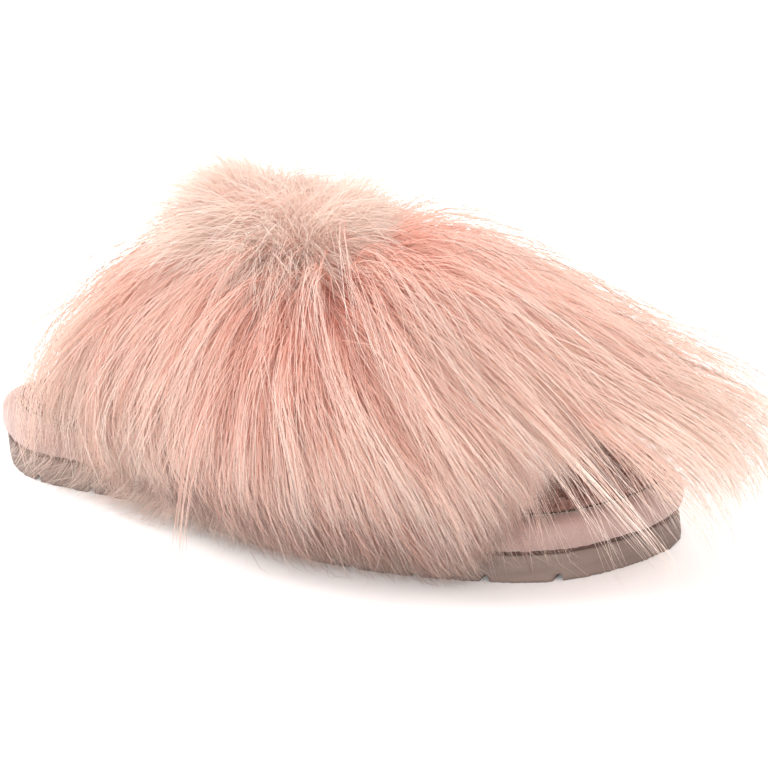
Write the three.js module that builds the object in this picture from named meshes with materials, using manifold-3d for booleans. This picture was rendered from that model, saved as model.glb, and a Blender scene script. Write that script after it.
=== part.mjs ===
// A right-foot fluffy house slipper: a backless, open-toe slide with a wide arched band that is
// covered in very long fur, on a suede-wrapped platform with a moulded outsole.
// Millimetres, +Z up, +X towards the toe, -Y on the outer (little-toe) side.
// The origin is on the ground, under the middle of the sole.
import * as THREE from "three";
import { mergeVertices } from "three/addons/utils/BufferGeometryUtils.js";
import Module from "manifold-3d";

// ---- driving dimensions -------------------------------------------------------------------
const soleLength = 260;
const ballWidth = 98;
const gap = 0.3; // left between pieces that touch

const outsoleHeight = 10;
const outsoleInset = 1.5;
const outsoleLean = 0.12; // the side wall leans this much forward for each mm down
const treadPitch = 23;
const treadWidth = 3;
const treadDepth = 2.4;

const seamHeight = 0.9;
const seamInset = 2.2;
const platformTop = 22.6;
const wrapRound = 4;
const wrapWall = 3.2;
const wrapRim = 7.5;
const wrapUnderlap = 14;

const midsoleTop = 18;
const boardThickness = 0.8;
const cushionThickness = 2;
const sockThickness = 2.5;
const threadThickness = 0.7;

const bandRear = -34;
const bandFront = 72;
const bandRearTop = 92;
const bandFrontTop = 68;
const backingThickness = 1.4;
const paddingThickness = 2.6;
const liningThickness = 1.6;
const bindingWidth = 2;

const furTop = 131;
const furHemGround = 1;
const furHemToe = 38;
const furHemHeel = 8;
const furSideSpread = 26;
const furHeelSpread = 9;
const furToeSpread = 32;
const furCrestRear = -50;
const furCrestFront = 30;
const furCrestCut = 100;
const furHeelCut = -60;
const furToeCut = 82;

// The sole's plan, as shares of its length and of the ball's width, anticlockwise from the heel.
const soleShares = [
  [-0.5, 0],
  [-0.43, -0.27],
  [-0.23, -0.35],
  [0.04, -0.57],
  [0.24, -0.55],
  [0.41, -0.37],
  [0.5, 0.14],
  [0.43, 0.38],
  [0.28, 0.42],
  [0.07, 0.41],
  [-0.23, 0.35],
  [-0.43, 0.29],
];

// The underside of the fur over the foot space: height above the ground along the slipper.
const furUnderside = [
  [-150, 27],
  [-128, 31],
  [-60, 80],
  [bandRear, bandRearTop + 3],
  [bandFront, bandFrontTop + 3],
  [105, 56],
  [190, 46],
];

// ---- materials ----------------------------------------------------------------------------
const paint = (color, roughness) => new THREE.MeshStandardMaterial({ color, roughness, metalness: 0 });
const outsoleFoam = paint(0xb9a191, 0.75);
const suede = paint(0xc8a5a0, 0.95);
const darkThread = paint(0x5a4138, 0.9);
const foam = paint(0xe9e2d6, 0.9);
const board = paint(0xb79f7c, 0.85);
const fleece = paint(0xc79a90, 1);
const backingCloth = paint(0xd99a8c, 0.95);
const liningCloth = paint(0xd9b4aa, 0.95);
const tape = paint(0xb98c84, 0.9);
const fur = paint(0xebb4a5, 1);

// ---- solids -------------------------------------------------------------------------------
const wasm = await Module();
wasm.setup();

function solidOf(geometry) {
  const bare = geometry.index ? geometry.toNonIndexed() : geometry;
  const points = new THREE.BufferGeometry().setAttribute("position", bare.getAttribute("position"));
  const merged = mergeVertices(points, 1e-4);
  return new wasm.Manifold(
    new wasm.Mesh({
      numProp: 3,
      vertProperties: new Float32Array(merged.attributes.position.array),
      triVerts: new Uint32Array(merged.index.array),
    }),
  );
}

function meshOf(name, solid, material) {
  const made = solid.getMesh();
  const geometry = new THREE.BufferGeometry()
    .setAttribute("position", new THREE.BufferAttribute(new Float32Array(made.vertProperties), 3))
    .setIndex(new THREE.BufferAttribute(new Uint32Array(made.triVerts), 1));
  const mesh = new THREE.Mesh(geometry, material);
  mesh.name = name;
  return mesh;
}

// A solid between two grids of points: outer(u, v) faces out, inner(u, v) lies behind it.
// u runs towards the toe and v from the outer side over the top to the inner side.
function thickSheet(stepsU, stepsV, outer, inner) {
  const across = stepsV + 1;
  const layer = (stepsU + 1) * across;
  const points = [];
  for (const surface of [outer, inner]) {
    for (let i = 0; i <= stepsU; i++) {
      for (let j = 0; j <= stepsV; j++) points.push(...surface(i / stepsU, j / stepsV));
    }
  }
  const faces = [];
  const at = (i, j) => i * across + j;
  for (let i = 0; i < stepsU; i++) {
    for (let j = 0; j < stepsV; j++) {
      const [a, b, c, d] = [at(i, j), at(i + 1, j), at(i + 1, j + 1), at(i, j + 1)];
      faces.push(a, b, c, a, c, d);
      faces.push(layer + a, layer + c, layer + b, layer + a, layer + d, layer + c);
    }
  }
  const wall = (a, b) => faces.push(b, a, layer + a, b, layer + a, layer + b);
  for (let i = 0; i < stepsU; i++) {
    wall(at(i, 0), at(i + 1, 0));
    wall(at(i + 1, stepsV), at(i, stepsV));
  }
  for (let j = 0; j < stepsV; j++) {
    wall(at(stepsU, j), at(stepsU, j + 1));
    wall(at(0, j + 1), at(0, j));
  }
  const geometry = new THREE.BufferGeometry();
  geometry.setAttribute("position", new THREE.Float32BufferAttribute(points, 3));
  geometry.setIndex(faces);
  return solidOf(geometry);
}

// A box from its lowest to its highest corner.
function block(low, high) {
  const size = high.map((value, axis) => value - low[axis]);
  const middle = high.map((value, axis) => (value + low[axis]) / 2);
  return solidOf(new THREE.BoxGeometry(...size).translate(...middle));
}

// ---- the sole's plan ----------------------------------------------------------------------
const soleSteps = 60;
const soleCurve = new THREE.CatmullRomCurve3(
  soleShares.map(([along, across]) => new THREE.Vector3(along * soleLength, across * ballWidth, 0)),
  true,
);

// The plan moved outwards by an offset, or inwards by a negative one.
function planPoints(offset) {
  return Array.from({ length: soleSteps }, (_, i) => {
    const at = i / soleSteps;
    const point = soleCurve.getPoint(at);
    const tangent = soleCurve.getTangent(at);
    return new THREE.Vector2(point.x + tangent.y * offset, point.y - tangent.x * offset);
  });
}

// Where the offset plan's edge is at x, on the outer side (-1) or the inner side (+1).
function edgeAt(x, side, offset) {
  const plan = planPoints(offset);
  let edge = 0;
  plan.forEach((a, i) => {
    const b = plan[(i + 1) % soleSteps];
    if ((a.x - x) * (b.x - x) > 0 || a.x === b.x) return;
    const y = a.y + ((b.y - a.y) * (x - a.x)) / (b.x - a.x);
    edge = side * Math.max(side * edge, side * y);
  });
  return edge;
}

function plate(offset, bottom, top) {
  const geometry = new THREE.ExtrudeGeometry(new THREE.Shape(planPoints(offset)), {
    depth: top - bottom,
    bevelEnabled: false,
  });
  return solidOf(geometry.translate(0, 0, bottom));
}

// A plate whose side bulges out like a rolled edge.
function roundedPlate(offset, bottom, top, round) {
  const geometry = new THREE.ExtrudeGeometry(new THREE.Shape(planPoints(offset)), {
    depth: top - bottom - 2 * round,
    bevelThickness: round,
    bevelSize: round * 0.8,
    bevelOffset: -round * 0.8,
    bevelSegments: 4,
  });
  return solidOf(geometry.translate(0, 0, bottom + round));
}

// ---- sole ---------------------------------------------------------------------------------
const seamBottom = outsoleHeight + gap;
const wrapBottom = seamBottom + seamHeight + gap;
const wrapFloor = wrapBottom + 1.5;

function makeOutsole() {
  const leaning = new THREE.Matrix4().set(
    1, 0, -outsoleLean, outsoleLean * outsoleHeight,
    0, 1, 0, 0,
    0, 0, 1, 0,
    0, 0, 0, 1,
  );
  const geometry = new THREE.ExtrudeGeometry(new THREE.Shape(planPoints(-outsoleInset)), {
    depth: outsoleHeight,
    bevelEnabled: false,
  });
  let sole = solidOf(geometry.applyMatrix4(leaning));
  const grooves = Math.floor(soleLength / treadPitch / 2);
  for (let i = -grooves; i < grooves; i++) {
    const x = (i + 0.5) * treadPitch;
    sole = sole.subtract(
      block([x - treadWidth / 2, -ballWidth, -treadDepth], [x + treadWidth / 2, ballWidth, treadDepth]),
    );
  }
  return sole;
}

function makeSoleSeam() {
  const top = seamBottom + seamHeight;
  return plate(-seamInset, seamBottom, top).subtract(plate(-wrapUnderlap, seamBottom - 1, top + 1));
}

// The wrap goes round the platform's side, a little way over its top and under its bottom.
function makePlatformWrap() {
  return roundedPlate(0, wrapBottom, platformTop, wrapRound)
    .subtract(plate(-wrapWall, wrapFloor, midsoleTop + gap))
    .subtract(plate(-wrapRim, midsoleTop, platformTop + 1))
    .subtract(plate(-wrapUnderlap, wrapBottom - 1, wrapFloor + 1));
}

function makeMidsole() {
  return plate(-wrapWall - gap, wrapFloor + gap, midsoleTop).add(
    plate(-wrapUnderlap - gap, seamBottom, wrapFloor + 1),
  );
}

// ---- band ---------------------------------------------------------------------------------
const bandLength = bandFront - bandRear;
const bandBase = midsoleTop + gap;
const bandOuter = wrapRim + gap;
const paddingInset = backingThickness + gap;
const liningInset = paddingInset + paddingThickness + gap;
const bandThickness = liningInset + liningThickness;

// A point on the band: u from its rear edge to its front, v over the arch, inset below its face.
function bandPoint(u, v, inset) {
  const x = bandRear + u * bandLength;
  const outerSide = edgeAt(x, -1, -bandOuter - inset);
  const innerSide = edgeAt(x, 1, -bandOuter - inset);
  const top = THREE.MathUtils.lerp(bandRearTop, bandFrontTop, u) - inset;
  const angle = Math.PI * (1 - v);
  const y = (outerSide + innerSide) / 2 + ((innerSide - outerSide) / 2) * Math.cos(angle);
  const rise = Math.max(Math.sin(angle), 0) ** 0.85;
  return [x, y, bandBase + (top - bandBase) * rise];
}

const bandSteps = 6;
const archSteps = 18;

function bandLayer(inset, thickness) {
  return thickSheet(
    bandSteps,
    archSteps,
    (u, v) => bandPoint(u, v, inset),
    (u, v) => bandPoint(u, v, inset + thickness),
  );
}

// A strip over the arch from xLow to xHigh, between two depths, over a share of the arch.
function archStrip(xLow, xHigh, outerInset, innerInset, vLow = 0) {
  const place = (inset) => (u, v) =>
    bandPoint((xLow + u * (xHigh - xLow) - bandRear) / bandLength, vLow + v * (1 - 2 * vLow), inset);
  const steps = Math.ceil((xHigh - xLow) / (bandLength / bandSteps));
  return thickSheet(steps, archSteps, place(outerInset), place(innerInset));
}

function makeBinding(edge, direction) {
  const ends = [edge + direction * gap, edge + direction * (gap + bindingWidth)].sort((a, b) => a - b);
  return archStrip(ends[0], ends[1], 0, bandThickness);
}

function makeBindingStitch(edge, direction) {
  const x = edge - direction * 3;
  return archStrip(x - threadThickness / 2, x + threadThickness / 2, -gap - threadThickness, -gap, 0.08);
}

// ---- footbed ------------------------------------------------------------------------------
const boardBottom = midsoleTop + 2 * gap;
const cushionBottom = boardBottom + boardThickness + gap;
const sockBottom = cushionBottom + cushionThickness + gap;
const bandSlot = archStrip(
  bandRear - bindingWidth - 2 * gap,
  bandFront + bindingWidth + 2 * gap,
  -wrapRim / 2,
  bandThickness + 1,
);

// A layer under the foot, cut away where the band passes down beside it.
function footbedLayer(bottom, thickness) {
  return plate(-wrapRim - gap, bottom, bottom + thickness).subtract(bandSlot);
}

function makeRimStitch() {
  const bottom = platformTop + gap;
  const top = bottom + threadThickness;
  const middle = wrapRim - 1.5;
  return plate(-middle + threadThickness / 2, bottom, top).subtract(
    plate(-middle - threadThickness / 2, bottom - 1, top + 1),
  );
}

// ---- fur ----------------------------------------------------------------------------------
// The height of the fur's underside at x, between the listed heights.
function undersideAt(x) {
  const next = Math.max(1, furUnderside.findIndex(([station]) => station >= x));
  const [[x0, z0], [x1, z1]] = [furUnderside[next - 1], furUnderside[next]];
  return z0 + ((z1 - z0) * (x - x0)) / (x1 - x0);
}

// Everything that the fur leaves free: the sole, the band, and the foot space behind and before it.
function makeFurHollow() {
  const floor = -3;
  const heelEnd = -soleLength / 2 + 25;
  const toeEnd = soleLength / 2 - 35;
  const [hollowRear, hollowFront] = [-soleLength / 2 + 3, 188];
  const arch = (u, v) => {
    const x = hollowRear + u * (hollowFront - hollowRear);
    const inside = THREE.MathUtils.clamp(x, heelEnd, toeEnd);
    const [outerSide, innerSide] = [edgeAt(inside, -1, -3), edgeAt(inside, 1, -3)];
    const angle = Math.PI * (1 - v);
    const y = (outerSide + innerSide) / 2 + ((innerSide - outerSide) / 2) * Math.cos(angle);
    return [x, y, 1 + (undersideAt(x) - 1) * Math.max(Math.sin(angle), 0) ** 0.85];
  };
  const footSpace = thickSheet(28, 14, arch, (u, v) => [arch(u, v)[0], arch(u, v)[1], floor]);
  const stitches = -gap - threadThickness - gap;
  const bandSpace = archStrip(bandRear - 4, bandFront + 4, stitches, bandThickness);
  return footSpace.add(plate(1, floor, sockBottom + sockThickness + gap)).add(bandSpace);
}

// How far towards the toe a point of the plan is: 0 at the heel's end, 1 at the toe's.
const towardsToe = (x) => THREE.MathUtils.clamp(x / soleLength + 0.5, 0, 1);

// The outside of the fur: a mound from its hem, round the sole, up to the crest.
function makeFurMound() {
  const rings = 12;
  const hem = planPoints(0).map((point, i) => {
    const tangent = soleCurve.getTangent(i / soleSteps);
    const toe = THREE.MathUtils.smoothstep(towardsToe(point.x), 0.78, 1);
    const heel = 1 - THREE.MathUtils.smoothstep(towardsToe(point.x), 0, 0.3);
    const blend = (side, atToe, atHeel) => side + (atToe - side) * toe + (atHeel - side) * heel;
    const spread = blend(furSideSpread, furToeSpread, furHeelSpread);
    return {
      x: point.x + tangent.y * spread,
      y: point.y - tangent.x * spread,
      z: blend(furHemGround, furHemToe, furHemHeel),
      fullness: blend(1.5, 1.5, 1.15),
    };
  });
  const points = [0, 0, furHemGround];
  for (let ring = 0; ring < rings; ring++) {
    const angle = (ring / rings) * (Math.PI / 2);
    for (const foot of hem) {
      const out = Math.cos(angle) ** (2 / foot.fullness);
      const up = Math.sin(angle) ** (2 / foot.fullness);
      const crestX = THREE.MathUtils.clamp(foot.x * 0.4, furCrestRear, furCrestFront);
      points.push(crestX + (foot.x - crestX) * out, foot.y * out, foot.z + (furTop - foot.z) * up);
    }
  }
  const crest = points.length / 3;
  points.push((furCrestRear + furCrestFront) / 2, 0, furTop);
  const faces = [];
  for (let i = 0; i < soleSteps; i++) {
    const next = (i + 1) % soleSteps;
    faces.push(0, 1 + next, 1 + i);
    for (let ring = 0; ring < rings - 1; ring++) {
      const [low, high] = [1 + ring * soleSteps, 1 + (ring + 1) * soleSteps];
      faces.push(low + i, low + next, high + next, low + i, high + next, high + i);
    }
    const last = 1 + (rings - 1) * soleSteps;
    faces.push(last + i, last + next, crest);
  }
  const geometry = new THREE.BufferGeometry();
  geometry.setAttribute("position", new THREE.Float32BufferAttribute(points, 3));
  geometry.setIndex(faces);
  return solidOf(geometry);
}

// The fur is one cover, whose pile falls in five masses.
function makeFurMasses() {
  const far = 300;
  const pile = makeFurMound().subtract(makeFurHollow());
  const half = gap / 2;
  const cut = (low, high) => pile.intersect(block(low, high));
  return {
    fur_crest: cut([-far, -far, furCrestCut + half], [far, far, far]),
    fur_heel_fall: cut([-far, -far, 0], [furHeelCut - half, far, furCrestCut - half]),
    fur_toe_fall: cut([furToeCut + half, -far, 0], [far, far, furCrestCut - half]),
    fur_outer_side: cut([furHeelCut + half, -far, 0], [furToeCut - half, -half, furCrestCut - half]),
    fur_inner_side: cut([furHeelCut + half, half, 0], [furToeCut - half, far, furCrestCut - half]),
  };
}

// ---- assembly -----------------------------------------------------------------------------
const slipper = new THREE.Group();

const sole = new THREE.Group();
sole.add(
  meshOf("outsole", makeOutsole(), outsoleFoam),
  meshOf("sole_seam", makeSoleSeam(), darkThread),
  meshOf("platform_wrap", makePlatformWrap(), suede),
  meshOf("midsole", makeMidsole(), foam),
);

const footbed = new THREE.Group();
footbed.add(
  meshOf("insole_board", footbedLayer(boardBottom, boardThickness), board),
  meshOf("insole_cushion", footbedLayer(cushionBottom, cushionThickness), foam),
  meshOf("sock_lining", footbedLayer(sockBottom, sockThickness), fleece),
  meshOf("rim_stitch", makeRimStitch(), darkThread),
);

const band = new THREE.Group();
band.add(
  meshOf("fur_backing", bandLayer(0, backingThickness), backingCloth),
  meshOf("band_padding", bandLayer(paddingInset, paddingThickness), foam),
  meshOf("band_lining", bandLayer(liningInset, liningThickness), liningCloth),
);
for (const [name, edge, direction] of [
  ["rear", bandRear, -1],
  ["front", bandFront, 1],
]) {
  band.add(
    meshOf(name + "_binding", makeBinding(edge, direction), tape),
    meshOf(name + "_binding_stitch", makeBindingStitch(edge, direction), darkThread),
  );
}

const furCover = new THREE.Group();
for (const [name, solid] of Object.entries(makeFurMasses())) furCover.add(meshOf(name, solid, fur));

slipper.add(sole, footbed, band, furCover);

export default slipper;
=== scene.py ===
"""The looks of the fluffy house slipper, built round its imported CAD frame.

Metres, +Z up, +X towards the toe, -Y on the outer (little-toe) side, which faces the camera.
"""
import math
from collections import namedtuple

import bpy
import numpy as np
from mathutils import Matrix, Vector
from mathutils.bvhtree import BVHTree


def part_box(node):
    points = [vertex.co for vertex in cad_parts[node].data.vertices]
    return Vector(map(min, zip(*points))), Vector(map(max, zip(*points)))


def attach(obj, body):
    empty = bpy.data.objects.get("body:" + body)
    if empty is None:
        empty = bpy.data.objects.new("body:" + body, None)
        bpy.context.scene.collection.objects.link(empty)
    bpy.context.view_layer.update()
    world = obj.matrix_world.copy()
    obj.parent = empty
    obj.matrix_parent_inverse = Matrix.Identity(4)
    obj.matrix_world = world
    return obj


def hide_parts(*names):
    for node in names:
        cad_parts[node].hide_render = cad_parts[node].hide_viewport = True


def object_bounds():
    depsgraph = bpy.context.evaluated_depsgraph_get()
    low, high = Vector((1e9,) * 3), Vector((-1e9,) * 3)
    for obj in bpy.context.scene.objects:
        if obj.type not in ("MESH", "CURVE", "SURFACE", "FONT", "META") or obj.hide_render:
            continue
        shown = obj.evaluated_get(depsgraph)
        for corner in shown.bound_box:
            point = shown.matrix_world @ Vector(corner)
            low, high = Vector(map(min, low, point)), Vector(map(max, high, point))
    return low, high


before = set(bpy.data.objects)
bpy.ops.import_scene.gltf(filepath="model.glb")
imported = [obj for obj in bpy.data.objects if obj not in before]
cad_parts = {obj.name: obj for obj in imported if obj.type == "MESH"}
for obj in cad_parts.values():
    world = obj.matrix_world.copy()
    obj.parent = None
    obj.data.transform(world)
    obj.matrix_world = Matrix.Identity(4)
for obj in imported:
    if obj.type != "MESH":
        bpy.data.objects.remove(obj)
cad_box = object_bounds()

MM = 0.001
SEED = 11

# ---- driving values -----------------------------------------------------------------------
CAMERA_AZIMUTH = math.radians(23.8)
CAMERA_ELEVATION = math.radians(20.6)
CAMERA_DISTANCE = 1.5
CAMERA_LENS = 198.5
CAMERA_AIM = (0.538, 0.361)  # shares of the CAD box's length and height

COVER_LOCKS = 2280  # locks of the long cover
TUFT_LOCKS = 500  # locks of the tuft on the crest
TUFTS_PER_LOCK = 4  # small pointed tufts in each lock
STRANDS_PER_TUFT = 8
FUR_LENGTH = 128 * MM
FUR_RADIUS = 0.13 * MM
FUR_POINTS = 9  # points along a strand
FUR_DEPTH = 28 * MM  # how far the top strands lie above the band
FUR_PIECE_STRANDS = 3300  # most strands in one piece
TONE_COLUMNS = 24  # strand tones, side by side across the fur's UV map
SHADE_TONES = 6  # how many of them are the greyer, darker tones of the strands that hang low, painted shade on the lower fur
STEPS = 22  # steps in which a strand is laid
REAR_FAN = 2.2  # how strongly the fur behind the crest is combed towards the heel
BEND_LENGTH = 34 * MM  # the length over which a strand turns to its pull
CREST_START, CREST_END = 14 * MM, 26 * MM  # where the crest lies, from the band's rear edge
PAINTED_SHADE_START, PAINTED_SHADE_END = 20 * MM, 78 * MM  # root heights over which the greyer tones of painted shade give way
HEM_LOWEST, HEM_RANGE = 3.2 * MM, 9 * MM  # heights at which the fur ends beside the sole
TOE_HEM_LOWEST, TOE_HEM_RANGE = 47 * MM, 28 * MM  # the same over the open toe
TOE_START, TOE_END = 72 * MM, 118 * MM  # where along the foot the hem rises to the open toe
LOW_FUR = 30 * MM  # below this height a tuft ends where it stops falling or stands off
HEM_REACH, WISP_REACH = 4 * MM, 42 * MM  # how far low tufts, and the few wisps, stand off
WISP_SHARE, TOE_WISP_SHARE = 0.035, 0.02  # shares of the tufts that are such wisps
STITCH_GAP = 0.22  # share of a stitch's pitch that is left bare

SOCK_FIBRES = 9000  # fibres of the footbed's pile
LINING_FIBRES = 5000  # fibres of the lining's pile

# ---- small helpers ------------------------------------------------------------------------
LOW, HIGH = (np.array(corner) for corner in cad_box)


def unit(vectors):
    """Vectors of length one."""
    return vectors / np.maximum(np.linalg.norm(vectors, axis=-1, keepdims=True), 1e-9)


def smoothstep(low, high, values):
    t = np.clip((values - low) / (high - low), 0, 1)
    return t * t * (3 - 2 * t)


def new_object(name, mesh, material):
    obj = bpy.data.objects.new(name, mesh)
    bpy.context.scene.collection.objects.link(obj)
    mesh.materials.clear()
    mesh.materials.append(material)
    return obj


def add_piece(obj, slot, *nodes):
    """The object rides on the slipper and stands for CAD nodes, which it hides; the slot is not used."""
    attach(obj, "root")
    if nodes:
        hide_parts(*nodes)
    return obj


def node_mesh(*names):
    """The vertices and triangles of CAD nodes, joined."""
    points, faces = [], []
    for name in names:
        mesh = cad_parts[name].data
        start = len(points)
        points += [tuple(vertex.co) for vertex in mesh.vertices]
        faces += [tuple(start + i for i in polygon.vertices) for polygon in mesh.polygons]
    return points, faces


# ---- materials ----------------------------------------------------------------------------
def new_material(name, roughness, sheen=0.0, sheen_tint=(1, 1, 1), specular=0.3):
    material = bpy.data.materials.new(name)
    material.use_nodes = True
    shader = material.node_tree.nodes["Principled BSDF"]
    shader.inputs["Roughness"].default_value = roughness
    shader.inputs["Specular IOR Level"].default_value = specular
    shader.inputs["Sheen Weight"].default_value = sheen
    shader.inputs["Sheen Tint"].default_value = (*sheen_tint, 1)
    return material, material.node_tree, shader


def add_node(tree, kind, **inputs):
    node = tree.nodes.new(kind)
    for name, value in inputs.items():
        node.inputs[name.replace("_", " ")].default_value = value
    return node


def ramp_node(tree, source, stops):
    """A colour ramp over source, from (place, colour) stops."""
    node = tree.nodes.new("ShaderNodeValToRGB")
    elements = node.color_ramp.elements
    while len(elements) < len(stops):
        elements.new(0.5)
    for element, (place, colour) in zip(elements, stops):
        element.position = place
        element.color = (*colour, 1)
    tree.links.new(source, node.inputs["Fac"])
    return node.outputs["Color"]


def multiply_colours(tree, first, second):
    """The product of two colour sockets."""
    node = tree.nodes.new("ShaderNodeMix")
    node.data_type = "RGBA"
    node.blend_type = "MULTIPLY"
    node.inputs["Factor"].default_value = 1.0
    tree.links.new(first, node.inputs["A"])
    tree.links.new(second, node.inputs["B"])
    return node.outputs["Result"]


def noise(tree, scale, detail=4.0, roughness=0.55, stretch=(1, 1, 1)):
    """A noise pattern in the object's own space."""
    place = tree.nodes.new("ShaderNodeTexCoord")
    mapping = tree.nodes.new("ShaderNodeMapping")
    mapping.inputs["Scale"].default_value = stretch
    pattern = add_node(tree, "ShaderNodeTexNoise", Scale=scale, Detail=detail, Roughness=roughness)
    tree.links.new(place.outputs["Object"], mapping.inputs["Vector"])
    tree.links.new(mapping.outputs["Vector"], pattern.inputs["Vector"])
    return pattern.outputs["Fac"]


def add_bump(tree, shader, height, strength, distance):
    bump = add_node(tree, "ShaderNodeBump", Strength=strength, Distance=distance)
    tree.links.new(height, bump.inputs["Height"])
    tree.links.new(bump.outputs["Normal"], shader.inputs["Normal"])


def strand_material(name, along_stops, tone_stops, glow_share):
    """Fibres coloured from root to tip, with each one's own tone; light shines through them."""
    material, tree, shader = new_material(name, 0.6, 0.04, (1.0, 0.86, 0.8), 0.1)
    uv = tree.nodes.new("ShaderNodeUVMap")
    uv.uv_map = "OFBake"
    split = tree.nodes.new("ShaderNodeSeparateXYZ")
    tree.links.new(uv.outputs["UV"], split.inputs["Vector"])
    along = ramp_node(tree, split.outputs["Y"], along_stops)
    tone = ramp_node(tree, split.outputs["X"], tone_stops)
    grain = ramp_node(tree, noise(tree, 70, 2.0), [(0.3, (0.96, 0.93, 0.92)), (0.7, (1.0, 1.0, 1.0))])
    final = multiply_colours(tree, along, tone)
    final = multiply_colours(tree, final, grain)
    tree.links.new(final, shader.inputs["Base Color"])
    glow = tree.nodes.new("ShaderNodeBsdfTranslucent")
    tree.links.new(final, glow.inputs["Color"])
    both = add_node(tree, "ShaderNodeMixShader", Fac=glow_share)
    tree.links.new(shader.outputs["BSDF"], both.inputs[1])
    tree.links.new(glow.outputs["BSDF"], both.inputs[2])
    tree.links.new(both.outputs["Shader"], tree.nodes["Material Output"].inputs["Surface"])
    return material


def fur_material():
    """Salmon at the root and pale cream at the tip; the strands that hang low are greyer and darker,
    painted shade on the lower fur.
    """
    first_shade = 1 - SHADE_TONES / TONE_COLUMNS
    along = [
        (0.0, (0.92, 0.40, 0.28)),
        (0.18, (0.93, 0.58, 0.48)),
        (0.45, (0.93, 0.76, 0.69)),
        (0.75, (0.94, 0.89, 0.84)),
        (1.0, (0.98, 0.96, 0.92)),
    ]
    tone = [
        (0.0, (1.0, 1.0, 1.0)),
        (0.5 * first_shade, (1.0, 0.94, 0.92)),
        (first_shade - 0.004, (0.98, 0.82, 0.78)),
        # The last columns, greyer and darker, are painted shade for the strands that hang low.
        (first_shade + 0.004, (0.72, 0.66, 0.65)),
        (1.0, (0.60, 0.53, 0.52)),
    ]
    return strand_material("fur", along, tone, 0.62)


def fleece_pile_material():
    """The short dusty-rose pile of the footbed and the lining."""
    along = [(0.0, (0.30, 0.13, 0.10)), (0.5, (0.50, 0.27, 0.22)), (1.0, (0.66, 0.42, 0.36))]
    tone = [(0.0, (1.0, 1.0, 1.0)), (0.6, (0.9, 0.86, 0.85)), (1.0, (0.72, 0.68, 0.68))]
    return strand_material("fleece_pile", along, tone, 0.25)


def thread_material():
    """Dark brown sewing thread."""
    along = [(0.0, (0.07, 0.04, 0.03)), (0.5, (0.13, 0.08, 0.062)), (1.0, (0.07, 0.04, 0.03))]
    tone = [(0.0, (1.0, 1.0, 1.0)), (1.0, (0.75, 0.72, 0.7))]
    return strand_material("thread_stitches", along, tone, 0.05)


def cloth_material(name, colour, dark, scale, bump, sheen):
    """A napped or knitted cloth: mottled colour and a fine raised grain."""
    material, tree, shader = new_material(name, 0.92, sheen, (1.0, 0.9, 0.88))
    mottle = noise(tree, scale * 0.12, 3.0)
    grain = noise(tree, scale, 6.0, 0.65)
    base = ramp_node(tree, mottle, [(0.3, dark), (0.7, colour)])
    speck = ramp_node(tree, grain, [(0.25, (0.8, 0.78, 0.77)), (0.75, (1.08, 1.06, 1.05))])
    tree.links.new(multiply_colours(tree, base, speck), shader.inputs["Base Color"])
    add_bump(tree, shader, grain, bump, 0.4 * MM)
    return material


def outsole_material():
    """Matt moulded foam rubber with faint flow lines along the side."""
    material, tree, shader = new_material("outsole_foam", 0.72)
    flow = noise(tree, 60, 5.0, 0.6, (1, 1, 9))
    pores = noise(tree, 1800, 2.0)
    base = ramp_node(tree, flow, [(0.3, (0.185, 0.133, 0.113)), (0.7, (0.235, 0.172, 0.148))])
    tree.links.new(base, shader.inputs["Base Color"])
    add_bump(tree, shader, pores, 0.25, 0.15 * MM)
    return material


def studio_material(name, colour):
    material, _, shader = new_material(name, 0.9)
    shader.inputs["Base Color"].default_value = (*colour, 1)
    return material


# ---- camera, floor and light --------------------------------------------------------------
def build_studio():
    scene = bpy.context.scene
    scene.view_settings.view_transform = "Standard"
    aim = Vector((
        LOW[0] + CAMERA_AIM[0] * (HIGH[0] - LOW[0]),
        0,
        LOW[2] + CAMERA_AIM[1] * (HIGH[2] - LOW[2]),
    ))
    out = Vector((
        math.sin(CAMERA_AZIMUTH) * math.cos(CAMERA_ELEVATION),
        -math.cos(CAMERA_AZIMUTH) * math.cos(CAMERA_ELEVATION),
        math.sin(CAMERA_ELEVATION),
    ))
    data = bpy.data.cameras.new("camera")
    data.lens = CAMERA_LENS
    data.clip_start = 0.05
    camera = bpy.data.objects.new("camera", data)
    camera.location = aim + out * CAMERA_DISTANCE
    camera.rotation_euler = (-out).to_track_quat("-Z", "Y").to_euler()
    scene.collection.objects.link(camera)
    scene.camera = camera

    mesh = bpy.data.meshes.new("floor")
    side = 6.0
    corners = [(-side, -side, 0), (side, -side, 0), (side, side, 0), (-side, side, 0)]
    mesh.from_pydata(corners, [], [(0, 1, 2, 3)])
    new_object("floor", mesh, studio_material("floor", (0.93, 0.93, 0.93)))

    world = bpy.data.worlds.new("studio")
    world.use_nodes = True
    world.node_tree.nodes["Background"].inputs["Color"].default_value = (1, 1, 1, 1)
    world.node_tree.nodes["Background"].inputs["Strength"].default_value = 1.1
    scene.world = world

    for name, place, size, power in (
        ("key", (-0.55, -0.1, 1.75), 1.3, 34),
        ("fill", (0.2, -1.7, 1.1), 1.2, 10),
        ("back", (0.2, 1.3, 1.2), 1.0, 12),
        ("soft", (0.3, -1.5, 0.9), 1.0, 8),
    ):
        light = bpy.data.lights.new(name, "AREA")
        light.size = size
        light.energy = power
        light.use_shadow = name != "soft"
        lamp = bpy.data.objects.new(name, light)
        lamp.location = place
        towards = Vector((0, 0, 0.05)) - Vector(place)
        lamp.rotation_euler = towards.to_track_quat("-Z", "Y").to_euler()
        scene.collection.objects.link(lamp)


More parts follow.
